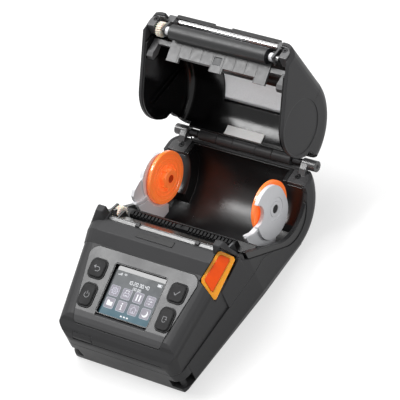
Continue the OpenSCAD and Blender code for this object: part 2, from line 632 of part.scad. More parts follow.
module heat_sink() color("#a3a5a7") head_frame() difference() {
  translate([-42.4, -6, -4.6]) cube([84.8, 4.7, 9]);
  for (i = [0:3]) translate([-43, -7, -3.4 + i * 2.1]) cube([86, 3.2, 1]);
}
module head_springs() color("#8f9194") head_frame() both() translate([22, -10.85, 2])
  rotate([-90, 0, 0]) coil(1.7, 0.44, 6);
module latch_bar() color("#77797b") {
  rod(latch, -47.9, 51, 1.5);
  both() along_x(43, 45) polygon([latch + [2.4, -1.9], latch + [2.4, 3], latch + [2.4, 9.4],
      latch + [2.6, 13.4],
    latch + [5.1, 15.2], latch + [3, 16.8], latch + [0.7, 13.6], latch + [-0.2, 9], latch + [-1.4, 3.4],
    latch + [-2.4, 1], latch + [-2.4, -1.9]]);
  along_x(48.4, 50.9) polygon([latch + [2.4, -1.9], latch + [2.2, 2], latch + [-1, 8], latch + [-3.6, 8],
    latch + [-2.4, 2], latch + [-2.4, -1.9]]);
}
module tear_bar() color("#d4d6d8") along_x(-45.4, 45.4) polygon([bar + [-1.5, -2.6], bar + [-1.5, 0],
  bar + [0.7, 0], bar + [1.3, 0.6], bar + [1.3, -2.6]]);
module tear_bar_clips() color("#161616") for (x = [-20.5, 30.7]) along_x(x - 1.6, x + 1.6) difference() {
  polygon([bar + [-1.55, -4.6], bar + [-1.55, 0.02], bar + [-1.2, 0.9], bar + [1.2, 1.2], bar + [1.9, 0.9],
      bar + [1.9, -4.6]]);
  polygon([bar + [-1.56, -2.62], bar + [-1.56, 0.01], bar + [0.7, 0.01], bar + [1.31, 0.61],
      bar + [1.31, -2.62]]);
}
module media_sensor() color("#141415") difference() {
  along_x(-45, 45) polygon([[1, deck_z[1]], [1, 45.6], [2.2, 47.2], [5, 47.5], [6.8, 46], [6.8, deck_z[1]]]);
  for (x = [-42:3:42]) if (abs(x) > 4) translate([x - 0.6, 0.5, 46.3]) cube([1.2, 4.8, 2]);
  translate([0, 3.8, 46.9]) cylinder(h = 2, r = 1.5);
}
module main_board() color("#2e6b45") difference() {
  union() {
    translate([-44.5, front_y + 9.4, board_z + 0.1]) cube([89, 66.6, 1.6]);
    for (p = [[-24, -70, 14, 14, 2.4], [4, -66, 18, 18, 2], [-30, -44, 12, 9, 3], [8, -38, 22, 8, 4]])
      translate([p[0], p[1], board_z + 1.69]) cube([p[2], p[3], p[4]]);
  }
  both() for (p = board_posts) translate([p[0], p[1], board_z - 1]) cylinder(h = 5, r = 1.05);
  both() translate([36, -90, board_z - 1]) rotate([0, 0, -40]) cube([20, 12, 6]);
}
module battery_pack() color("#2c2e31") difference() {
  translate([-batt_w / 2, batt_y, 0.3]) cube([batt_w, batt_l, batt_h]);
  translate([-12, batt_y - 1, -1]) cube([24, 3.6, 3]);
  translate([-8.2, batt_y + batt_l - 2, 0.6]) cube([16.4, 3, 1.9]);
  both() translate([batt_w / 2 - 4, batt_y - 1, batt_h - 3]) cube([6, batt_l + 2, 5]);
  for (i = [0:4]) translate([-15 + i * 6, batt_y + batt_l - 1.2, 12]) cube([3, 3, 5]);
}
module battery_latch() color("#e05a2a") {
  translate([-8.6, batt_y + batt_l + 0.3, 0.4]) cube([17.2, 4.4, 2.3]);
  translate([-7.6, batt_y + batt_l - 1.6, 0.9]) cube([15.2, 2.2, 1.3]);
  translate([-12, batt_y + batt_l + 0.3, wall + 0.2]) cube([24, 4.4, 1.2]);
  for (i = [0:2]) translate([-6, batt_y + batt_l + 1.1 + i * 1.2, 0.1]) cube([12, 0.5, 0.5]);
}

// Paper guides
arm_x = guide_x + 7.1;
arm_c = ax + [-4.1, 0.9];
module arm_plate_2d() polygon(concat(arc(arm_c + [0, 3.2], 17.3, 0, 180, 20),
    arc(arm_c - [0, 3.3], 17.3, 180, 360, 20)));
module arm_common() {
  difference() {
    along_x(arm_x - 3, arm_x) arm_plate_2d();
    rod(ax, 40, 60, 3.2);
    along_x(arm_x - 0.5, arm_x + 1) difference() {
      translate(ax) circle(8.4);
      translate(ax) circle(5.6);
    }
  }
  along_x(arm_x - 5.1, arm_x - 2.6) polygon([[12, 43], [12.4, 27], [23.5, 13], [34, 12.2], [37, 17.4],
    [30, 22.2], [24.2, 30], [22.4, 38]]);
  along_x(arm_x - 3.7, arm_x - 2.6) polygon([[23, 20], [34, 13], [38, 18], [31, 36], [22.6, 38]]);
  along_x(arm_x - 4.4, arm_x - 0.6) polygon([[24.3, 41.3], [17.8, 42.6], [12, 46.4], [11.2, 45.4], [17, 41],
      [24.3, 38.7]]);
  translate([arm_x - 5.1, rack_y + 4, 9.4]) cube([2.6, 3, 10]);
}
module guide_arm_right() color("#c8c8cc") {
  difference() {
    arm_common();
    along_x(arm_x - 4, arm_x + 1) translate([26.5, 50.5]) circle(8);
  }
  translate([arm_x - 5.1, rack_y - 7, 8.9]) cube([2.6, 14, 1.4]);
  translate([arm_x - 5.1, rack_y - 7, rack_z[1]]) cube([2.6, 3, 1]);
}
module guide_arm_left() color("#c8c8cc") mirror([1, 0, 0]) {
  arm_common();
  along_x(arm_x - 2.4, arm_x) polygon([[30, 50], [29, 54.6], [23.9, 54.8], [17.6, 53.6], [14.1, 50.6],
      [13.6, 47],
    [14.5, 42.5], [17.6, 35], [24, 34]]);
  translate([arm_x - 5.1, rack_y + 4, rack_z[1]]) cube([2.6, 3, 1.2]);
}
module guide_axle() {
  rod(ax, guide_x - 3.4, arm_x - 3, 3);
  rod(ax, arm_x - 3.6, arm_x - 3, 5);
  rod(ax, arm_x - 3, arm_x - 0.6, 3.15);
}
module guide_axles_left() color("#2a2a2c") mirror([1, 0, 0]) guide_axle();
module guide_axles_right() color("#2a2a2c") guide_axle();
module guide_disc() difference() {
  at_yz(ax) rotate([0, 90, 0]) {
    rotate_extrude() polygon([[3 + run, guide_x - 3.6], [6.4, guide_x - 3.6], [7.2, guide_x - 2.6],
      [7.4, guide_x + 0.6], [10, guide_x + 0.6], [10, guide_x + 0.1], [11.2, guide_x + 0.1],
          [11.2, guide_x + 0.6],
      [13, guide_x + 0.6], [13, guide_x + 0.1], [14.2, guide_x + 0.1], [14.2, guide_x + 0.6],
      [16, guide_x + 0.6], [16.6, guide_x], [disc_d / 2 - 0.4, guide_x], [disc_d / 2, guide_x + 0.5],
      [disc_d / 2, guide_x + disc_t - 0.3], [disc_d / 2 - 0.4, guide_x + disc_t], [16, guide_x + disc_t],
      [15, guide_x + 2], [3 + run, guide_x + 2]]);
    for (a = [0:45:315]) rotate([0, 0, a]) translate([6.9, -0.8, guide_x - 3]) cube([1.5, 1.6, 3.7]);
  }
}
module guide_disc_left() color("#ff6420") mirror([1, 0, 0]) guide_disc();
module guide_disc_right() color("#ff6420") guide_disc();
rack_m = 0.5;
rack_r = rack_m * rack_teeth / 2;
module rack() {
  pitch = rack_m * PI;
  translate([0, rack_y + rack_r, rack_z[0]]) linear_extrude(rack_z[1] - rack_z[0]) {
    for (i = [-32:1]) translate([(i + 0.5) * pitch, 0])
      polygon([[-0.33 * pitch, 0.7], [-0.14 * pitch, -0.4], [0.14 * pitch, -0.4], [0.33 * pitch, 0.7]]);
    translate([-arm_x + 1.2, 0.65]) square([arm_x + 2.4, 2.35]);
  }
}
module guide_rack_left() color("#3a3a3c") rack();
module guide_rack_right() color("#3a3a3c") translate([0, 2 * rack_y, 0]) rotate([0, 0, 180]) rack();
module rack_pinion() color("#e9e6da") translate([0, rack_y, rack_z[0] + 0.1])
    linear_extrude(rack_z[1] - rack_z[0] - 0.1) difference() {
  polygon([for (i = [0:rack_teeth - 1], p = [[-0.33, -1.2], [-0.14, 0.85], [0.14, 0.85], [0.33, -1.2]])
    let (a = (i + p[0]) * 360 / rack_teeth, r = rack_m * (rack_teeth / 2 + p[1])) r * [cos(a), sin(a)]]);
  circle(1.5 + run);
}

// Lid, modelled closed and then swung open
lid_front = -10.2;
lid_rear_z = hinge[1] + 4.5;
lid_lip_z = hinge[1] + 1.2;
module lid_mass(t) {
  x = half_w - t - 0.05;
  z = lid_r - t - 0.05;
  at_yz(ax) rotate([roof_tilt, 0, 0]) along_y(-64, 0) polygon(mirrored(concat(
    [[0, z]], [for (p = arc([x - edge_r + t, z - edge_r + t], edge_r - t, 90, 0, 6)) p], [[x, -50]])));
  intersection() {
    drum(lid_r - t, half_w - t, edge_r - t);
    at_yz(ax) rotate([roof_tilt, 0, 0]) translate([-70, -0.5, -60]) cube([140, 60, 120]);
  }
}
module lid_limit(g) {
  along_x(-half_w - 1, half_w + 1) polygon(concat([[lid_front, 95]], [[lid_front, cheek_front[1] + g]],
    [for (p = cheek_curve(g)) if (p[0] > cheek_front[0] + 2 && p[0] < ax[0] + 22.1) p],
    [[ax[0] + 22.4 - g, ax[1] + 1 + g], [ax[0] + 31, ax[1] + 4.1 + g], [hinge[0] - 8, lid_rear_z],
     [hinge[0] + 10, lid_rear_z], [hinge[0] + 10, 95]]));
  translate([-49.3 + g, hinge[0] - 12, lid_lip_z + g / 4]) cube([98.6 - 2 * g, 22, 5]);
}
module lid_notches() {
  translate([-50, lid_front - 1, 50]) cube([100, 11.2, 40]);
  both() translate([half_w, lid_front, 40]) rotate([0, 0, 45]) cube([6, 6, 80], center = true);
}
module lid_knuckle(x0, x1) along_x(x0, x1) difference() {
  union() {
    barrel_2d();
    polygon([hinge + [-3.9, 0.6], hinge + [-4.8, 4.6], hinge + [-4.6, 6.6], hinge + [-2.6, 6.4],
             hinge + [-1.2, 4.8], hinge + [2.4, 3.1]]);
  }
  translate(hinge) circle(hinge_pin_d / 2 + run);
}
win_x = 28;
win_y = [52, 70.4];
module lid_shell() color("#424244") lid_pose() {
  difference() {
    intersection() {
      difference() {
        lid_mass(0);
        lid_mass(wall);
      }
      lid_limit(0);
    }
    lid_notches();
    translate([-win_x - 1, win_y[0] - 1, 52]) cube([2 * win_x + 2, win_y[1] - win_y[0] + 2, 60]);
    rod(hinge, -half_w, half_w, barrel_r + 0.4);
    both() rod([ax[0] - 0.9, ax[1] + 3], half_w - 0.4, half_w + 1, 19.9);
  }
  lid_knuckle(-9.8, 9.8);
  both() lid_knuckle(24.2, 39.8);
}
module lid_liner() color("#0e0e0f") lid_pose() difference() {
  union() {
    intersection() {
      difference() {
        lid_mass(wall + fit);
        lid_mass(wall + fit + liner_t);
      }
      lid_limit(0.4);
    }
    both() for (y = [40.3, 44.6]) along_x(half_w - wall - fit - liner_t - 1.6, half_w - wall - fit - 0.7)
      polygon([[y - 1.4, 27], [y + 0.1, 27], [y + 4.1, 66], [y + 2.6, 66]]);
  }
  lid_notches();
  translate([-60, lid_front - 1, 30]) cube([120, 11.8, 60]);
  translate([-win_x, win_y[0], 52]) cube([2 * win_x, win_y[1] - win_y[0], 60]);
}
module lid_window() color("#c9d4d6") lid_pose() intersection() {
  difference() {
    drum(lid_r - 0.3, half_w - 1, edge_r - 1);
    drum(lid_r - wall + 0.2, half_w - wall, edge_r - wall);
  }
  translate([-win_x - 0.8, win_y[0] - 0.8, 52]) cube([2 * win_x + 1.6, win_y[1] - win_y[0] + 1.6, 60]);
}
comb_top = platen + [6.1, -1.4];
comb_foot = platen + [12.5, -15.7];
module paper_comb() color("#1b1b1d") lid_pose() difference() {
  union() {
    along_x(-42, 42) polygon([comb_top, comb_foot, comb_foot + [1.7, 0.8], comb_top + [1.7, 0.8]]);
    both() along_x(41.9, 57.6) polygon([comb_top + [1.5, -1.8], comb_top + [2.9, -5], comb_top + [5, -4.6],
      comb_top + [3.4, -1.2]]);
    both() along_x(52.6, 57.6) polygon([[4.8, 56.4], [5.6, 49], [5.7, 46], [7.6, 43.2], [10.8, 43],
        [11.4, 49], [8, 56.4]]);
  }
  for (x = [-32.7:9.34:32.8]) translate([x, 0, 0])
    along_x(-0.5, 0.5) polygon([comb_top + [-2, -0.8], comb_foot + [-2, -1], comb_foot + [0.5, -0.6],
        comb_top + [0.5, -0.8]]);
  both() along_x(5.4, 31.9) polygon([comb_foot + [-4, -2], comb_foot + [-4, 3.7], comb_foot + [4, 3.7],
      comb_foot + [4, -2]]);
  along_x(-3.95, 2.35) polygon([[2, 49], [2, 54.2], [12, 54.2], [12, 49]]);
}
module gap_sensor() color("#5a5c60") lid_pose() along_x(-3.8, 2.2)
    polygon([[4.9, 54], [6.9, 49.2], [9.6, 49.2], [7.4, 54]]);
post_screw = [54.6, bar[1] + 1.1];
module corner_posts() color("#1d1d1f") lid_pose() both() difference() {
  union() {
    intersection() {
      lid_mass(wall + fit);
      union() {
        translate([53, lid_front + 0.6, bar[1] - 5.5]) cube([6, 9.6, 16]);
        translate([49, lid_front + 0.6, bar[1] + 3.7]) cube([4.1, 9.6, 12]);
      }
    }
    translate([43.8, -5.6, bar[1] + 4.2]) cube([6, 5.4, 5.4]);
    along_x(wall_x - 0.2, wall_x + 1.4) polygon([platen + [-3.6, -2.6], platen + [3.6, -2.6],
        platen + [3.9, 7.6], platen + [-2.1, 7.6]]);
  }
  rod(platen, 40, 60, shaft_d / 2 + run);
  rod(chrome_c, 40, 50, 1.35);
  translate([post_screw[0], lid_front + 12, post_screw[1]]) rotate([90, 0, 0]) {
    cylinder(h = 14, r = 1);
    translate([0, 0, 10]) cylinder(h = 4, r = 2.2);
  }
}
chrome_c = platen + [1.9, 10.3];
module chrome_bar() color("#dfe1e3") lid_pose() rod(chrome_c, -48.6, 48.6, 1.3);
module lid_blade() color("#232325") lid_pose() difference() {
  along_x(-43.7, 43.7) polygon([chrome_c + [-3.9, 0.6], chrome_c + [-3.9, 3.4], chrome_c + [-3.4, 3.9],
    chrome_c + [-2.2, 3.9], chrome_c + [-1.9, 3.4], chrome_c + [-1.9, 0.6]]);
  along_x(-12, 3) polygon([chrome_c + [-5, 2.4], chrome_c + [-5, 5], chrome_c + [0, 5], chrome_c + [0, 2.4]]);
}
module platen_shaft() color("#cfd0cf") lid_pose() rod(platen, -52.6, 50, shaft_d / 2);
module platen_rubber() color("#1a1a1a") lid_pose() difference() {
  rod(platen, -platen_l / 2, platen_l / 2, platen_r);
  rod(platen, -50, 50, shaft_d / 2);
}
module platen_bushes() color("#d9d6c8") lid_pose() both() difference() {
  rod(platen, 42.6, 45.4, 3);
  rod(platen, 40, 50, shaft_d / 2 + run);
}
module label_plate() color("#eceae4") lid_pose() intersection() {
  difference() {
    drum(lid_r - wall - fit - liner_t - 0.02, half_w - 8, 3);
    drum(lid_r - wall - fit - liner_t - 0.5, half_w - 7, 3);
  }
  translate([-18.4, hinge[0] - 20, lid_lip_z + 0.9]) cube([32, 20, 6.8]);
}

lower_case();
upper_case();
panel_plate();
keypad();
key(-1, keys[0]);  // key_back
key(-1, keys[1]);  // key_power
key(1, keys[0]);  // key_confirm
key(1, keys[1]);  // key_feed
lcd_bezel();
lcd_lens();
lcd_module();
badge_plate();
lever();
lever_insert();
roll_well();
hinge_blocks();
hinge_pin();
hinge_springs();
base_screws();
tear_bar();
tear_bar_clips();
media_sensor();
print_chassis();
print_head();
heat_sink();
head_springs();
latch_bar();
gear_plate();
drive_gear();
idler_gear();
motor_pinion();
stepper_motor();
main_board();
battery_pack();
battery_latch();
port_cover();
strap_pins();
guide_arm_left();
guide_arm_right();
guide_disc_left();
guide_disc_right();
guide_axles_left();
guide_axles_right();
guide_rack_left();
guide_rack_right();
rack_pinion();
lid_shell();
lid_liner();
lid_window();
paper_comb();
gap_sensor();
chrome_bar();
lid_blade();
corner_posts();
lid_screws();
platen_shaft();
platen_rubber();
platen_bushes();
platen_gear();
label_plate();
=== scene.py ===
import json
import math

import bmesh
import bpy
from mathutils import Matrix, Vector

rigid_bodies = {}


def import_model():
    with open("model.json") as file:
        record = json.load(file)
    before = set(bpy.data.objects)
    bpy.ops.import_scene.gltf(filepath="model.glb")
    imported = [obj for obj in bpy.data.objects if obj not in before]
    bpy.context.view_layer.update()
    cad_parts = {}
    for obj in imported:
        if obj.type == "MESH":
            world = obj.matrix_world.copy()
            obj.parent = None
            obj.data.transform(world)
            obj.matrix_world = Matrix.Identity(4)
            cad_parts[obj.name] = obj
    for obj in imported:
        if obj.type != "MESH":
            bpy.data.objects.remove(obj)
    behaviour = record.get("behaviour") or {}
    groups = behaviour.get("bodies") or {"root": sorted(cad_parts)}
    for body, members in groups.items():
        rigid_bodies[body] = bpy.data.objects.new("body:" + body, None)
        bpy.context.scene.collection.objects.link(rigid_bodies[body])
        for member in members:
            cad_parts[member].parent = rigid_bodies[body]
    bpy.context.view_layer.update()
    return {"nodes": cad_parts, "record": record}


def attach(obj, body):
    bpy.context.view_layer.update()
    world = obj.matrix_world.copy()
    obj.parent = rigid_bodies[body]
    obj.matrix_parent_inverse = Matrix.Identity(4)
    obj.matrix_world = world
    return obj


for leftover in list(bpy.data.objects):
    bpy.data.objects.remove(leftover)

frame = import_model()
nodes = frame["nodes"]
MM = 0.001
MM_PER_M = 1000


# Materials

BEVEL_SAMPLES = 6
# Most values of a noise texture lie between these
NOISE_LOW, NOISE_HIGH = 0.3, 0.7
# Edges lightened as wear and as a painted highlight: their width in mm, the cosines between a face and
# its softened normal where the lightening starts and is full, and how much lighter such a spot is
WEAR_AND_HIGHLIGHT_WIDTH = 0.9
WEAR_AND_HIGHLIGHT_START, WEAR_AND_HIGHLIGHT_FULL = 0.985, 0.82
WEAR_AND_HIGHLIGHT_GAIN, WEAR_AND_HIGHLIGHT_LIFT = 2.2, 0.04


def sockets(node, **values):
    for name, value in values.items():
        node.inputs[name.replace("_", " ")].default_value = value


def softened_normal(tree, radius):
    bevel = tree.nodes.new("ShaderNodeBevel")
    bevel.samples = BEVEL_SAMPLES
    bevel.inputs["Radius"].default_value = radius * MM
    return bevel.outputs["Normal"]


def noise(tree, place, size, detail, roughness):
    made = tree.nodes.new("ShaderNodeTexNoise")
    sockets(made, Scale=MM_PER_M / size, Detail=detail, Roughness=roughness)
    tree.links.new(place, made.inputs["Vector"])
    return made.outputs["Fac"]


def worn_and_highlit_edges(tree, color, shown, drift, edge):
    """Lightens the shown colour along the edges, in patches that follow the drift: wear, and a painted
    highlight along the edges.
    """
    add, link = tree.nodes.new, tree.links.new
    facing = add("ShaderNodeNewGeometry")
    turned = add("ShaderNodeVectorMath")
    turned.operation = "DOT_PRODUCT"
    link(softened_normal(tree, WEAR_AND_HIGHLIGHT_WIDTH), turned.inputs[0])
    link(facing.outputs["True Normal"], turned.inputs[1])
    wear_and_highlight = add("ShaderNodeMapRange")
    sockets(wear_and_highlight, From_Min=WEAR_AND_HIGHLIGHT_START, From_Max=WEAR_AND_HIGHLIGHT_FULL, To_Min=0.0, To_Max=edge)
    link(turned.outputs["Value"], wear_and_highlight.inputs["Value"])
    broken = add("ShaderNodeMath")
    broken.operation = "MULTIPLY"
    link(wear_and_highlight.outputs["Result"], broken.inputs[0])
    link(drift, broken.inputs[1])
    pale = add("ShaderNodeMix")
    pale.data_type = "RGBA"
    pale.inputs["B"].default_value = (*[min(c * WEAR_AND_HIGHLIGHT_GAIN + WEAR_AND_HIGHLIGHT_LIFT, 1) for c in color], 1)
    link(broken.outputs[0], pale.inputs["Factor"])
    link(shown, pale.inputs["A"])
    return pale.outputs["Result"]


def material(name, color, rough, metallic=0.0, vary=0.1, patch=14.0, grain=0.35, depth=0.0,
             rough_vary=0.06, edge=0.0, bevel=0.35, stretch=(1, 1, 1), **more):
    """A moulded or machined surface. patch is the size of its colour drift, grain and depth the size
    and height of its texture, bevel the radius of its edges, all in mm. edge lightens the edges: wear and
    painted highlight."""
    made = bpy.data.materials.new(name)
    made.use_nodes = True
    tree = made.node_tree
    add, link = tree.nodes.new, tree.links.new
    shader = tree.nodes["Principled BSDF"]
    shader.inputs["Metallic"].default_value = metallic
    sockets(shader, **more)
    place = add("ShaderNodeTexCoord")
    scaled = add("ShaderNodeMapping")
    scaled.inputs["Scale"].default_value = stretch
    link(place.outputs["Object"], scaled.inputs["Vector"])

    drift = noise(tree, scaled.outputs[0], patch, 5.0, 0.6)
    shade = add("ShaderNodeMix")
    shade.data_type = "RGBA"
    dark = [c * (1 - vary) for c in color]
    light = [min(c * (1 + vary) + 0.004 * vary, 1) for c in color]
    shade.inputs["A"].default_value = (*dark, 1)
    shade.inputs["B"].default_value = (*light, 1)
    link(drift, shade.inputs["Factor"])
    shown = shade.outputs["Result"]
    # Edges lightened as wear and as a painted highlight
    if edge:
        shown = worn_and_highlit_edges(tree, color, shown, drift, edge)
    link(shown, shader.inputs["Base Color"])

    gloss = add("ShaderNodeMapRange")
    sockets(gloss, From_Min=NOISE_LOW, From_Max=NOISE_HIGH)
    sockets(gloss, To_Min=max(rough - rough_vary, 0.02), To_Max=rough + rough_vary)
    link(drift, gloss.inputs["Value"])
    link(gloss.outputs["Result"], shader.inputs["Roughness"])

    normal = softened_normal(tree, bevel)
    if depth:
        bump = add("ShaderNodeBump")
        bump.inputs["Distance"].default_value = depth * MM
        bump.inputs["Strength"].default_value = 1.0
        link(noise(tree, scaled.outputs[0], grain, 3.0, 0.55), bump.inputs["Height"])
        link(normal, bump.inputs["Normal"])
        normal = bump.outputs["Normal"]
    link(normal, shader.inputs["Normal"])
    return made


def glow(made, color, strength):
    """The same material with a little light of its own: a display's own light, and a painted glow on
    see-through plastic.
    """
    shader = made.node_tree.nodes["Principled BSDF"]
    shader.inputs["Emission Color"].default_value = (*color, 1)
    shader.inputs["Emission Strength"].default_value = strength
    return made


def brushed(name, color, rough):
    """Metal with fine lines along X."""
    return material(name, color, rough, metallic=1.0, vary=0.18, patch=1.2, grain=0.25, depth=0.004,
                    stretch=(0.04, 1, 1), bevel=0.15)


finish = {
    "case_plastic": material(
        "case", (0.042, 0.042, 0.0435), 0.4, patch=30, grain=0.45, depth=0.03, edge=0.3, bevel=0.8,
        Specular_IOR_Level=0.14),
    "panel_grey": material(
        "panel", (0.052, 0.052, 0.054), 0.34, vary=0.08, patch=30, depth=0.02, edge=0.35, bevel=0.5,
        Specular_IOR_Level=0.4),
    "key_rubber": material(
        "key_rubber", (0.008, 0.008, 0.0085), 0.5, patch=8, grain=0.25, depth=0.012, edge=0.4, bevel=0.5,
        Specular_IOR_Level=0.16),
    "gloss_black": material(
        "gloss_black", (0.003, 0.003, 0.0035), 0.17, grain=0.7, depth=0.012, rough_vary=0.07, bevel=0.5,
        Specular_IOR_Level=0.3),
    "display_glass": material(
        "display_glass", (0.003, 0.003, 0.004), 0.08, patch=30, bevel=0.1, Specular_IOR_Level=0.35),
    "display_body": material("display_body", (0.05, 0.052, 0.055), 0.45, patch=6, grain=0.3, depth=0.01),
    "orange_plastic": material(
        "orange_plastic", (0.98, 0.12, 0.014), 0.2, vary=0.16, patch=7, grain=0.5, depth=0.01,
        Subsurface_Weight=0.35, Subsurface_Scale=0.003),
    "red_plastic": material(
        "red_plastic", (0.98, 0.085, 0.002), 0.16, vary=0.2, patch=4, bevel=0.4, Specular_IOR_Level=0.25),
    "grey_plastic": material(
        "grey_plastic", (0.76, 0.765, 0.79), 0.34, vary=0.06, patch=12, grain=0.3, depth=0.008, bevel=0.5),
    "steel": brushed("steel", (0.2, 0.2, 0.2), 0.32),
    "dark_steel": material(
        "dark_steel", (0.028, 0.028, 0.029), 0.36, metallic=1.0, patch=3, grain=0.3, depth=0.01, edge=0.6,
        bevel=0.3),
    "chassis_steel": brushed("chassis_steel", (0.16, 0.165, 0.17), 0.4),
    "black_plastic": material(
        "black_plastic", (0.009, 0.009, 0.0095), 0.36, patch=10, depth=0.012, edge=0.3,
        Specular_IOR_Level=0.3),
    "ceramic": material("ceramic", (0.05, 0.048, 0.045), 0.2, patch=4),
    "aluminium": brushed("aluminium", (0.3, 0.31, 0.32), 0.36),
    "gear_plastic": material(
        "gear_plastic", (0.86, 0.79, 0.68), 0.4, vary=0.05, patch=5, grain=0.2, depth=0.006, bevel=0.1,
        Subsurface_Weight=0.2, Subsurface_Scale=0.001),
    "brass": brushed("brass", (0.72, 0.5, 0.2), 0.3),
    "board": material(
        "board", (0.02, 0.12, 0.05), 0.35, vary=0.25, patch=3, grain=0.6, depth=0.03, bevel=0.1),
    "window_clear": material(
        "window_clear", (0.6, 0.6, 0.61), 0.45, vary=0.3, patch=0.7, grain=0.5, depth=0.03, bevel=0.2,
        Transmission_Weight=0.8),
    "chrome": brushed("chrome", (0.78, 0.78, 0.79), 0.12),
    "platen_rubber": material(
        "platen_rubber", (0.009, 0.009, 0.01), 0.42, patch=4, grain=0.18, depth=0.02, bevel=0.3),
    "white_label": material(
        "white_label", (0.85, 0.85, 0.84), 0.45, vary=0.03, patch=10, grain=0.2, depth=0.003, bevel=0.05),
}
# The guide discs' orange emission is a painted glow; the discs are no lamp
disc_orange_painted_glow = glow(
    material("disc_orange_painted_glow", (1.0, 0.25, 0.06), 0.14, vary=0.25, patch=4, grain=0.8, depth=0.02, bevel=0.4,
             Subsurface_Weight=0.5, Subsurface_Scale=0.004),
    (1.0, 0.18, 0.035), 0.4)
rack_black = material("rack_black", (0.01, 0.01, 0.01), 0.3, patch=6)
special = {
    "lever": material(
        "lever_amber", (1.0, 0.36, 0.004), 0.14, patch=6, grain=0.5, depth=0.006, bevel=0.5,
        Subsurface_Weight=0.25, Subsurface_Scale=0.002),
    "guide_disc_left": disc_orange_painted_glow,
    "guide_disc_right": disc_orange_painted_glow,
    "guide_axles_left": material(
        "hub_orange", (0.8, 0.075, 0.01), 0.2, vary=0.25, patch=2, grain=0.6, depth=0.02, bevel=0.3,
        Subsurface_Weight=0.3, Subsurface_Scale=0.002),
    # Corner posts: a lighter copy of the case plastic, painted light, with strong edge lightening as a
    # painted highlight
    "corner_posts": material(
        "post_case_painted_lit", (0.085, 0.085, 0.088), 0.32, vary=0.15, patch=4, depth=0.03, edge=0.9, bevel=0.8),
    "media_sensor": material(
        "sensor_black", (0.003, 0.003, 0.0035), 0.5, patch=5, grain=0.3, depth=0.01, bevel=0.15,
        Specular_IOR_Level=0.15),
    # The strong edge lightening paints a highlight along the blocks' bright front edge
    "hinge_blocks": material(
        "block_grey", (0.06, 0.06, 0.062), 0.26, patch=8, grain=0.3, depth=0.01, edge=0.8),
    "roll_well": material(
        "well_satin", (0.007, 0.007, 0.0075), 0.3, vary=0.2, patch=25, grain=0.6, depth=0.03,
        rough_vary=0.04, bevel=0.8, Specular_IOR_Level=0.4),
    "paper_comb": material(
        "comb_grey", (0.075, 0.075, 0.077), 0.36, vary=0.25, patch=3, grain=0.3, depth=0.03, edge=0.7,
        bevel=0.25),
    "keypad": material(
        "key_sheet", (0.003, 0.003, 0.0035), 0.5, patch=6, grain=0.3, depth=0.01, Specular_IOR_Level=0.2),
    "guide_rack_left": rack_black,
    "guide_rack_right": rack_black,
}
slot_of = {row["node"]: row["material_slot"] for row in frame["record"]["subparts"]}
for name, obj in nodes.items():
    chosen = special.get(name, finish[slot_of[name]])
    for held in obj.material_slots:
        held.material = chosen


# Drawing on the control panel, in mm

PANEL_Y, PANEL_Z, TILT = -40.7, 57.4, math.radians(19)
# A mitre is cut off where two strokes meet at a sharper angle than this cosine allows
SHARPEST = 0.35


def piece(name, made, body, skin):
    bmesh.ops.recalc_face_normals(made, faces=made.faces)
    mesh = bpy.data.meshes.new(name)
    made.to_mesh(mesh)
    made.free()
    mesh.materials.append(skin)
    obj = bpy.data.objects.new(name, mesh)
    bpy.context.scene.collection.objects.link(obj)
    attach(obj, body)


def on_panel(x, s, n):
    """A point on the control panel: x to the right, s down its slope, n out of it."""
    return Vector((x, PANEL_Y - s * math.cos(TILT) - n * math.sin(TILT),
                   PANEL_Z - s * math.sin(TILT) + n * math.cos(TILT))) * MM


def prism(made, outline, level):
    """A closed flat plate on an outline of (x, s) points, between the two heights of level."""
    low, high = level
    top = [made.verts.new(on_panel(x, s, high)) for x, s in outline]
    base = [made.verts.new(on_panel(x, s, low)) for x, s in outline]
    made.faces.new(top)
    made.faces.new(base[::-1])
    count = len(outline)
    for i in range(count):
        j = (i + 1) % count
        made.faces.new((top[j], top[i], base[i], base[j]))


def stroke(made, points, width, level, closed=False):
    """A line of even width with mitred corners, as one prism for each of its stretches."""
    count = len(points)
    sides = []
    for i, p in enumerate(points):
        before = points[i - 1] if i or closed else None
        after = points[(i + 1) % count] if i + 1 < count or closed else None
        ways = []
        for a, b in ((before, p), (p, after)):
            if a is not None and b is not None:
                d = Vector((b[0] - a[0], b[1] - a[1])).normalized()
                ways.append(Vector((-d.y, d.x)))
        mean = sum(ways, Vector((0, 0))).normalized()
        out = mean * (width / 2 / max(mean.dot(ways[0]), SHARPEST))
        sides.append(((p[0] + out.x, p[1] + out.y), (p[0] - out.x, p[1] - out.y)))
    for i in range(count if closed else count - 1):
        (a, b), (c, d) = sides[i], sides[(i + 1) % count]
        prism(made, [a, c, d, b], level)


def circle(cx, cy, r, start=0, end=360, count=20):
    turns = [math.radians(start + (end - start) * i / count) for i in range(count + 1)]
    return [(cx + r * math.cos(a), cy + r * math.sin(a)) for a in turns]


def rectangle(left, top, right, foot):
    return [(left, top), (right, top), (right, foot), (left, foot)]


def rounded(cx, cy, w, h, r, steps=4):
    points = []
    for sx, sy, a in ((1, 1, 0), (-1, 1, 90), (-1, -1, 180), (1, -1, 270)):
        points += circle(cx + sx * (w / 2 - r), cy + sy * (h / 2 - r), r, a, a + 90, steps)
    return points


# Display: a slate picture with a teal foot, tiles and pale marks

# The picture's left, right, upper and lower edge, and its heights against the panel's face
LEFT, RIGHT, TOP, FOOT = -21.2, 21.2, 7.0, 39.4
LENS_TOP = -2.3
PICTURE = (LENS_TOP, LENS_TOP + 0.06)
ON_PICTURE = (PICTURE[1], LENS_TOP + 0.1)
TILE = (PICTURE[1] - 0.03, PICTURE[1] + 0.01)
COLUMNS = (-15.6, -5.4, 4.8, 15.0)
ROWS = (21.8, 30.9)


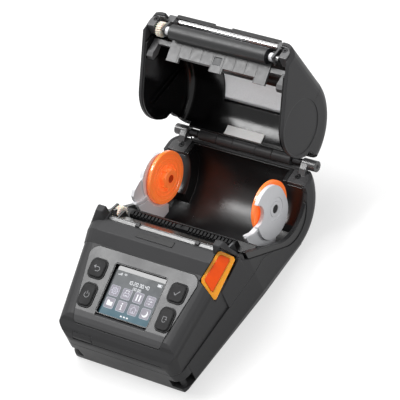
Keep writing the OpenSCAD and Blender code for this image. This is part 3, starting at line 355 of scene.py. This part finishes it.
def screen_skin():
    made = material("screen", (0.13, 0.15, 0.16), 0.3, patch=12, bevel=0.02, Specular_IOR_Level=0.15)
    tree = made.node_tree
    add, link = tree.nodes.new, tree.links.new
    shader = tree.nodes["Principled BSDF"]
    place = add("ShaderNodeTexCoord")
    apart = add("ShaderNodeSeparateXYZ")
    link(place.outputs["Object"], apart.inputs[0])
    band = add("ShaderNodeMapRange")
    sockets(band, From_Min=on_panel(0, TOP, 0).y, From_Max=on_panel(0, FOOT, 0).y)
    link(apart.outputs["Y"], band.inputs["Value"])
    ramp = add("ShaderNodeValToRGB")
    stops = [(0.0, (0.068, 0.074, 0.078)), (0.35, (0.07, 0.078, 0.086)), (0.72, (0.066, 0.085, 0.1)),
             (0.84, (0.04, 0.1, 0.13)), (1.0, (0.032, 0.095, 0.13))]
    held = ramp.color_ramp.elements
    for i, (where, color) in enumerate(stops):
        stop = held[i] if i < len(held) else held.new(where)
        stop.position = where
        stop.color = (*color, 1)
    link(band.outputs["Result"], ramp.inputs["Fac"])
    link(ramp.outputs["Color"], shader.inputs["Base Color"])
    link(ramp.outputs["Color"], shader.inputs["Emission Color"])
    shader.inputs["Emission Strength"].default_value = 0.12
    return made


def ink(name, color, light, strength):
    return glow(material(name, color, 0.4, bevel=0.02), light, strength)


picture = bmesh.new()
prism(picture, rounded((LEFT + RIGHT) / 2, (TOP + FOOT) / 2, RIGHT - LEFT, FOOT - TOP, 0.6), PICTURE)
piece("display_picture", picture, "case", screen_skin())

marks, lines, tiles = bmesh.new(), bmesh.new(), bmesh.new()


def mark(outline):
    prism(marks, outline, ON_PICTURE)


def mark_stroke(points, width, closed=False):
    stroke(marks, points, width, ON_PICTURE, closed)


def line(points, width, closed=False):
    stroke(lines, points, width, ON_PICTURE, closed)


# Each digit as the strokes that it lights, and each stroke by its ends in a place one wide and one high
DIGITS = {"0": "abcdef", "1": "bc", "2": "abged", "3": "abgcd", "4": "fgbc"}
SEGMENTS = {"a": ((0, 0), (1, 0)), "b": ((1, 0), (1, 0.5)), "c": ((1, 0.5), (1, 1)), "d": ((0, 1), (1, 1)),
            "e": ((0, 0.5), (0, 1)), "f": ((0, 0), (0, 0.5)), "g": ((0, 0.5), (1, 0.5))}


def digits(text, cx, top, w, h, gap, thick):
    """Plain seven-stroke digits, centred on cx. A dot takes only a gap."""
    total = sum((w if t != "." else 0) + gap for t in text) - gap
    x = cx - total / 2
    for t in text:
        if t == ".":
            mark(rectangle(x - thick, top + h, x, top + h - thick))
            x += gap
            continue
        for name in DIGITS[t]:
            (ax, ay), (bx, by) = SEGMENTS[name]
            mark_stroke([(x + ax * w, top + ay * h), (x + bx * w, top + by * h)], thick)
        x += w + gap


def signal(x, foot):
    """Four bars of rising height and two arcs beside them."""
    for i in range(4):
        left = x + i * 0.9
        mark(rectangle(left, foot, left + 0.5, foot - 0.5 - i * 0.45))
    for r, count in ((1.7, 8), (0.9, 6)):
        mark_stroke(circle(x + 6.2, foot, r, 225, 315, count), 0.34)


def battery(x, top):
    mark_stroke(rectangle(x, top, x + 3.2, top + 1.7), 0.3, True)
    mark(rectangle(x + 0.3, top + 0.3, x + 2.5, top + 1.4))


def page_dots(x, top):
    for i in range(3):
        left = x + i * 2.6
        mark(rectangle(left, top, left + 1.6, top + 1.0))


def cog(cx, cy):
    line(circle(cx, cy, 2.0)[:-1], 0.5, True)
    line(circle(cx, cy, 0.8)[:-1], 0.4, True)
    for i in range(8):
        a = math.radians(45 * i)
        line([(cx + r * math.cos(a), cy + r * math.sin(a)) for r in (2.1, 2.9)], 0.6)


def printer(cx, cy):
    line(rectangle(cx - 2.2, cy - 0.6, cx + 2.2, cy + 1.6), 0.4, True)
    sheet = [(cx - 1.3, cy - 0.8), (cx - 1.3, cy - 2.6), (cx + 1.3, cy - 2.6), (cx + 1.3, cy - 0.8)]
    mark_stroke(sheet, 0.35)
    mark_stroke([(cx - 1.2, cy + 1.0), (cx + 1.2, cy + 1.0)], 0.35)


def pause(cx, cy):
    for dx in (-1.2, 1.2):
        mark(rectangle(cx + dx - 0.55, cy - 2.3, cx + dx + 0.55, cy + 2.3))


def sliders(cx, cy):
    for i, dx in enumerate((-1.2, 0.8, -0.2)):
        y = cy - 1.8 + 1.8 * i
        line([(cx - 2.4, y), (cx + 2.4, y)], 0.3)
        mark(rounded(cx + dx, y, 1.0, 1.0, 0.3, 2))


def folder(cx, cy):
    mark([(cx - 2.4, cy + 1.8), (cx + 2.4, cy + 1.8), (cx + 2.4, cy - 1.0), (cx, cy - 1.0),
          (cx - 0.8, cy - 2.0), (cx - 2.4, cy - 2.0)])


def information(cx, cy):
    mark(rounded(cx, cy - 2.1, 1.1, 1.1, 0.5, 3))
    mark_stroke([(cx - 0.9, cy - 0.7), (cx, cy - 0.7), (cx, cy + 2.2)], 0.7)
    mark_stroke([(cx - 1.0, cy + 2.2), (cx + 1.0, cy + 2.2)], 0.5)


def house(cx, cy):
    line([(cx - 2.6, cy - 0.2), (cx, cy - 2.5), (cx + 2.6, cy - 0.2)], 0.45)
    line([(cx - 1.8, cy - 0.4), (cx - 1.8, cy + 2.2), (cx + 1.8, cy + 2.2), (cx + 1.8, cy - 0.4)], 0.4)
    line([(cx, cy + 2.0), (cx, cy + 0.7)], 0.9)


def moon(cx, cy):
    outer = circle(cx - 0.2, cy, 2.5, -75, 165, 14)
    inner = circle(cx - 1.0, cy - 0.8, 2.15, 140, -50, 12)
    mark(outer + inner)


digits("10.20.30.40", 1.0, 12.2, 1.25, 2.3, 0.75, 0.36)
digits("00.00", 1.0, 16.0, 1.0, 1.7, 0.65, 0.3)
signal(-18.4, 10.3)
battery(15.6, 8.6)
page_dots(-3.2, 37.0)
for cx in COLUMNS:
    for cy in ROWS:
        prism(tiles, rounded(cx, cy, 6.9, 6.9, 0.6), TILE)
        line(rounded(cx, cy, 7.4, 7.4, 0.9), 0.28, True)
for cy, row in zip(ROWS, ((cog, printer, pause, sliders), (folder, information, house, moon))):
    for cx, draw in zip(COLUMNS, row):
        draw(cx, cy)
ink_tile = ink("ink_tile", (0.13, 0.12, 0.15), (0.12, 0.11, 0.14), 0.4)
ink_lilac = ink("ink_lilac", (0.34, 0.34, 0.4), (0.3, 0.3, 0.36), 0.35)
ink_white = ink("ink_white", (0.55, 0.56, 0.58), (0.7, 0.72, 0.76), 0.25)
piece("display_tiles", tiles, "case", ink_tile)
piece("display_lines", lines, "case", ink_lilac)
piece("display_marks", marks, "case", ink_white)


# Signs on the four keys

KEY_TOP = 1.29
ON_KEY = (KEY_TOP, KEY_TOP + 0.03)


def sign_back(made, cx, cy):
    hook = circle(cx + 0.9, cy + 0.4, 1.5, -90, 90, 8)
    stroke(made, [(cx - 1.7, cy - 1.1), *hook, (cx - 1.0, cy + 1.9)], 0.42, ON_KEY)
    prism(made, [(cx - 3.1, cy - 1.1), (cx - 1.5, cy - 2.5), (cx - 1.5, cy + 0.3)], ON_KEY)


def sign_power(made, cx, cy):
    stroke(made, circle(cx, cy, 2.0, -55, 235, 18), 0.42, ON_KEY)
    stroke(made, [(cx, cy - 2.7), (cx, cy - 0.4)], 0.42, ON_KEY)


def sign_confirm(made, cx, cy):
    stroke(made, [(cx - 2.2, cy + 0.1), (cx - 0.7, cy + 1.6), (cx + 2.3, cy - 1.7)], 0.5, ON_KEY)


def sign_feed(made, cx, cy):
    sheet = [(cx - 1.7, cy + 0.6), (cx - 1.7, cy - 1.8), (cx + 1.1, cy - 1.8), (cx + 1.1, cy - 0.4)]
    stroke(made, sheet, 0.38, ON_KEY)
    stroke(made, circle(cx - 0.3, cy + 0.7, 1.4, 180, 20, 8), 0.38, ON_KEY)
    prism(made, [(cx + 0.2, cy + 0.2), (cx + 2.0, cy + 0.2), (cx + 1.1, cy - 1.0)], ON_KEY)


ink_key = material("ink_key", (0.2, 0.2, 0.21), 0.5, bevel=0.02)
for name, draw, cx, cy in (("back", sign_back, -34.3, 11.2), ("power", sign_power, -33.6, 30.8),
                           ("confirm", sign_confirm, 34.3, 11.2), ("feed", sign_feed, 33.6, 30.8)):
    sign = bmesh.new()
    draw(sign, cx, cy)
    piece(f"sign_{name}", sign, f"{name}_key", ink_key)


# Floor and world

FLOOR_RADIUS = 6
FLOOR_DROP = 0.0002


def branch(tree, lighting, shown):
    """A strength that is lighting for what the object gets, and shown for what the camera, gloss and
    glass see."""
    add, link = tree.nodes.new, tree.links.new
    path = add("ShaderNodeLightPath")
    seen = path.outputs["Is Camera Ray"]
    for ray in ("Is Glossy Ray", "Is Transmission Ray"):
        either = add("ShaderNodeMath")
        either.operation = "MAXIMUM"
        link(seen, either.inputs[0])
        link(path.outputs[ray], either.inputs[1])
        seen = either.outputs[0]
    level = add("ShaderNodeMapRange")
    sockets(level, To_Min=lighting, To_Max=shown)
    link(seen, level.inputs["Value"])
    return level.outputs["Result"]


def floor_material():
    made = bpy.data.materials.new("floor")
    made.use_nodes = True
    shader = made.node_tree.nodes["Principled BSDF"]
    sockets(shader, Roughness=0.9, Specular_IOR_Level=0.0)
    shader.inputs["Base Color"].default_value = (0.45, 0.45, 0.45, 1)
    shader.inputs["Emission Color"].default_value = (1, 1, 1, 1)
    strength = branch(made.node_tree, lighting=0.0, shown=0.62)
    made.node_tree.links.new(strength, shader.inputs["Emission Strength"])
    return made


world = bpy.data.worlds.new("studio")
bpy.context.scene.world = world
world.use_nodes = True
sky = world.node_tree.nodes["Background"]
sky.inputs["Color"].default_value = (1, 1, 1, 1)
world.node_tree.links.new(branch(world.node_tree, lighting=0.22, shown=1.0), sky.inputs["Strength"])

disc = bmesh.new()
bmesh.ops.create_circle(disc, cap_ends=True, radius=FLOOR_RADIUS, segments=64)
for v in disc.verts:
    v.co.z -= FLOOR_DROP
floor_mesh = bpy.data.meshes.new("floor")
disc.to_mesh(floor_mesh)
disc.free()
floor_mesh.materials.append(floor_material())
floor = bpy.data.objects.new("floor", floor_mesh)
bpy.context.scene.collection.objects.link(floor)


# Lamps and camera

LAMP_AIM = Vector((0, 0, 0.05))
# Solved from the photo: where the camera stands, and the directions of its view and of the frame's width
CAMERA_AT = (1.1103, -0.8511, 1.4729)
AHEAD = Vector((-0.55278552, 0.43770892, -0.70911145))
ACROSS = Vector((0.80010535, 0.51664241, -0.30481478))


def softbox(name, at, size, watts):
    light = bpy.data.lights.new(name, "AREA")
    light.shape = "RECTANGLE"
    light.size, light.size_y = size
    light.energy = watts
    obj = bpy.data.objects.new(name, light)
    obj.location = at
    obj.rotation_euler = (LAMP_AIM - Vector(at)).to_track_quat("-Z", "Y").to_euler()
    bpy.context.scene.collection.objects.link(obj)


softbox("key", (-0.3, 0.35, 1.1), (0.8, 0.6), 11)
softbox("sheen", (-0.72, -0.14, 1.1), (0.4, 0.28), 7)
softbox("fill", (1.3, 0.1, 0.75), (0.9, 0.5), 7)

camera_data = bpy.data.cameras.new("camera")
camera_data.sensor_width = 36
camera_data.lens = 260.92
camera_data.clip_start, camera_data.clip_end = 0.1, 20
camera = bpy.data.objects.new("camera", camera_data)
turn = Matrix((ACROSS, ACROSS.cross(AHEAD), -AHEAD)).transposed().to_4x4()
camera.matrix_world = Matrix.Translation(CAMERA_AT) @ turn
bpy.context.scene.collection.objects.link(camera)
bpy.context.scene.camera = camera
bpy.context.scene.view_settings.view_transform = "Standard"
